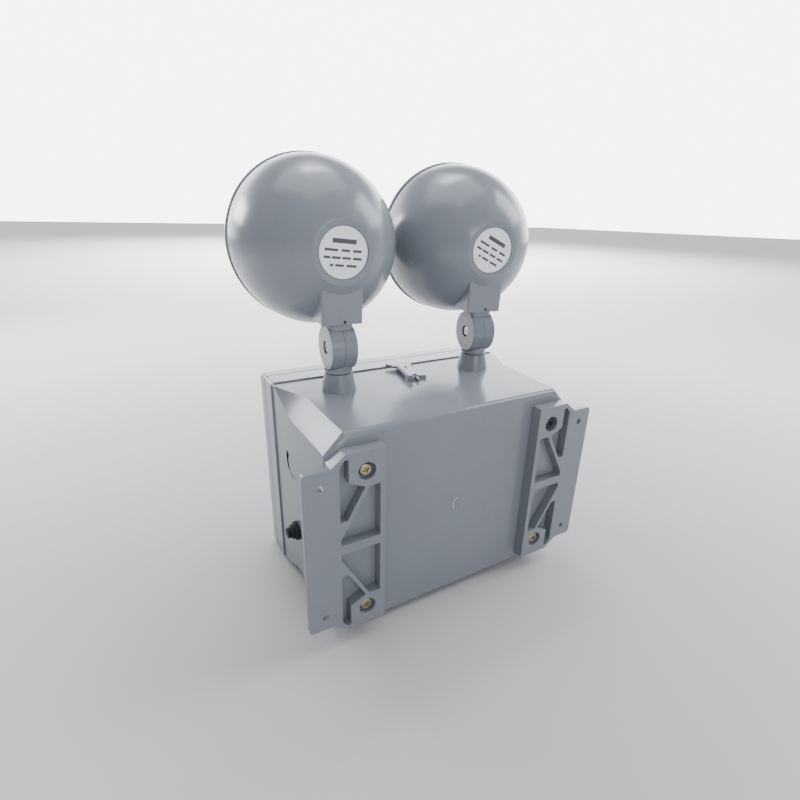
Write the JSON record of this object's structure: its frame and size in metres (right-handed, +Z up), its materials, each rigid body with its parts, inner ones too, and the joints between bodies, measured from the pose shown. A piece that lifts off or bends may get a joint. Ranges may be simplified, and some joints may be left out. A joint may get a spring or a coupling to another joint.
{
  "type": "emergency light",
  "caption": "Wall emergency light with round lamp heads on swivel knuckles above a gasketed plastic battery housing, held by pocketed rear brackets.",
  "frame": {"origin": "middle of the four wall holes, on the wall plane", "axes": "+Y points into the wall and the light faces -Y, +Z is up, +X is to the right seen from the front"},
  "size_m": [0.3079, 0.1883, 0.3919],
  "materials": {
    "grey_plastic": "moulded light grey plastic, slightly satin",
    "grey_head_plastic": "moulded light grey plastic, smoother than the box",
    "black_rubber": "soft black rubber",
    "black_plastic": "moulded black plastic",
    "dark_steel": "blackened steel",
    "yellow_zinc": "yellow zinc-plated steel",
    "zinc_steel": "bright zinc-plated steel",
    "clear_plastic": "clear moulded lens plastic",
    "bulb_glass": "clear lamp glass",
    "reflector_coat": "bright vacuum-coated plastic",
    "white_paper": "white stuck-on paper disc",
    "battery_plastic": "dark moulded battery case",
    "board_laminate": "green circuit laminate",
    "core_steel": "stacked transformer steel",
    "button_plastic": "red moulded plastic",
    "indicator_plastic": "red translucent plastic"
  },
  "bodies": {
    "base": {"housing": "grey_plastic", "front_cover": "grey_plastic", "cover_gasket": "black_rubber", "cover_screws": "zinc_steel", "conduit_plug": "black_rubber", "top_clip": "grey_plastic", "clip_screw": "zinc_steel", "switch_body": "black_plastic", "switch_nut": "zinc_steel", "indicator_lens": "indicator_plastic", "battery": "battery_plastic", "battery_strap": "zinc_steel", "strap_screws": "zinc_steel", "charger_board": "board_laminate", "board_screws": "zinc_steel", "transformer": "core_steel", "right_bracket": "grey_plastic", "left_bracket": "grey_plastic", "right_bracket_screws": "yellow_zinc", "left_upper_bracket_screw": "dark_steel", "left_lower_bracket_screw": "yellow_zinc", "right_swivel_seal": "black_rubber", "left_swivel_seal": "black_rubber"},
    "right_swivel": {"right_swivel_stem": "grey_plastic", "right_swivel_nut": "zinc_steel", "right_pivot_screw": "zinc_steel", "right_pivot_nut": "zinc_steel"},
    "right_head": {"right_head_knuckle": "grey_plastic", "right_head_shell": "grey_head_plastic", "right_neck_screw": "dark_steel", "right_label": "white_paper", "right_head_gasket": "black_rubber", "right_bezel": "grey_head_plastic", "right_lens": "clear_plastic", "right_reflector": "reflector_coat", "right_lamp_socket": "black_plastic", "right_bulb": "bulb_glass"},
    "left_swivel": {"left_swivel_stem": "grey_plastic", "left_swivel_nut": "zinc_steel", "left_pivot_screw": "zinc_steel", "left_pivot_nut": "zinc_steel"},
    "left_head": {"left_head_knuckle": "grey_plastic", "left_head_shell": "grey_head_plastic", "left_neck_screw": "dark_steel", "left_label": "white_paper", "left_head_gasket": "black_rubber", "left_bezel": "grey_head_plastic", "left_lens": "clear_plastic", "left_reflector": "reflector_coat", "left_lamp_socket": "black_plastic", "left_bulb": "bulb_glass"},
    "button": {"test_button": "button_plastic"}
  },
  "joints": [
    {"name": "right_pan", "type": "hinge", "parent": "base", "child": "right_swivel", "pos_m": [0.0754, -0.099, 0.13399], "axis": [0, 0, 1], "range_deg": [-1, 60]},
    {"name": "right_tilt", "type": "hinge", "parent": "right_swivel", "child": "right_head", "pos_m": [0.0754, -0.099, 0.13399], "axis": [0.9986, -0.0523, 0], "range_deg": [-30, 26]},
    {"name": "left_pan", "type": "hinge", "parent": "base", "child": "left_swivel", "pos_m": [-0.0754, -0.099, 0.13399], "axis": [0, 0, 1], "range_deg": [-55, 2]},
    {"name": "left_tilt", "type": "hinge", "parent": "left_swivel", "child": "left_head", "pos_m": [-0.0754, -0.099, 0.13399], "axis": [0.989, -0.1478, 0], "range_deg": [-30, 26]},
    {"name": "test_button_press", "type": "slide", "parent": "base", "child": "button", "axis": [0, 1, 0], "range_m": [0, 0.002], "stiffness_N_per_m": 600, "springref_m": -0.001}
  ]
}
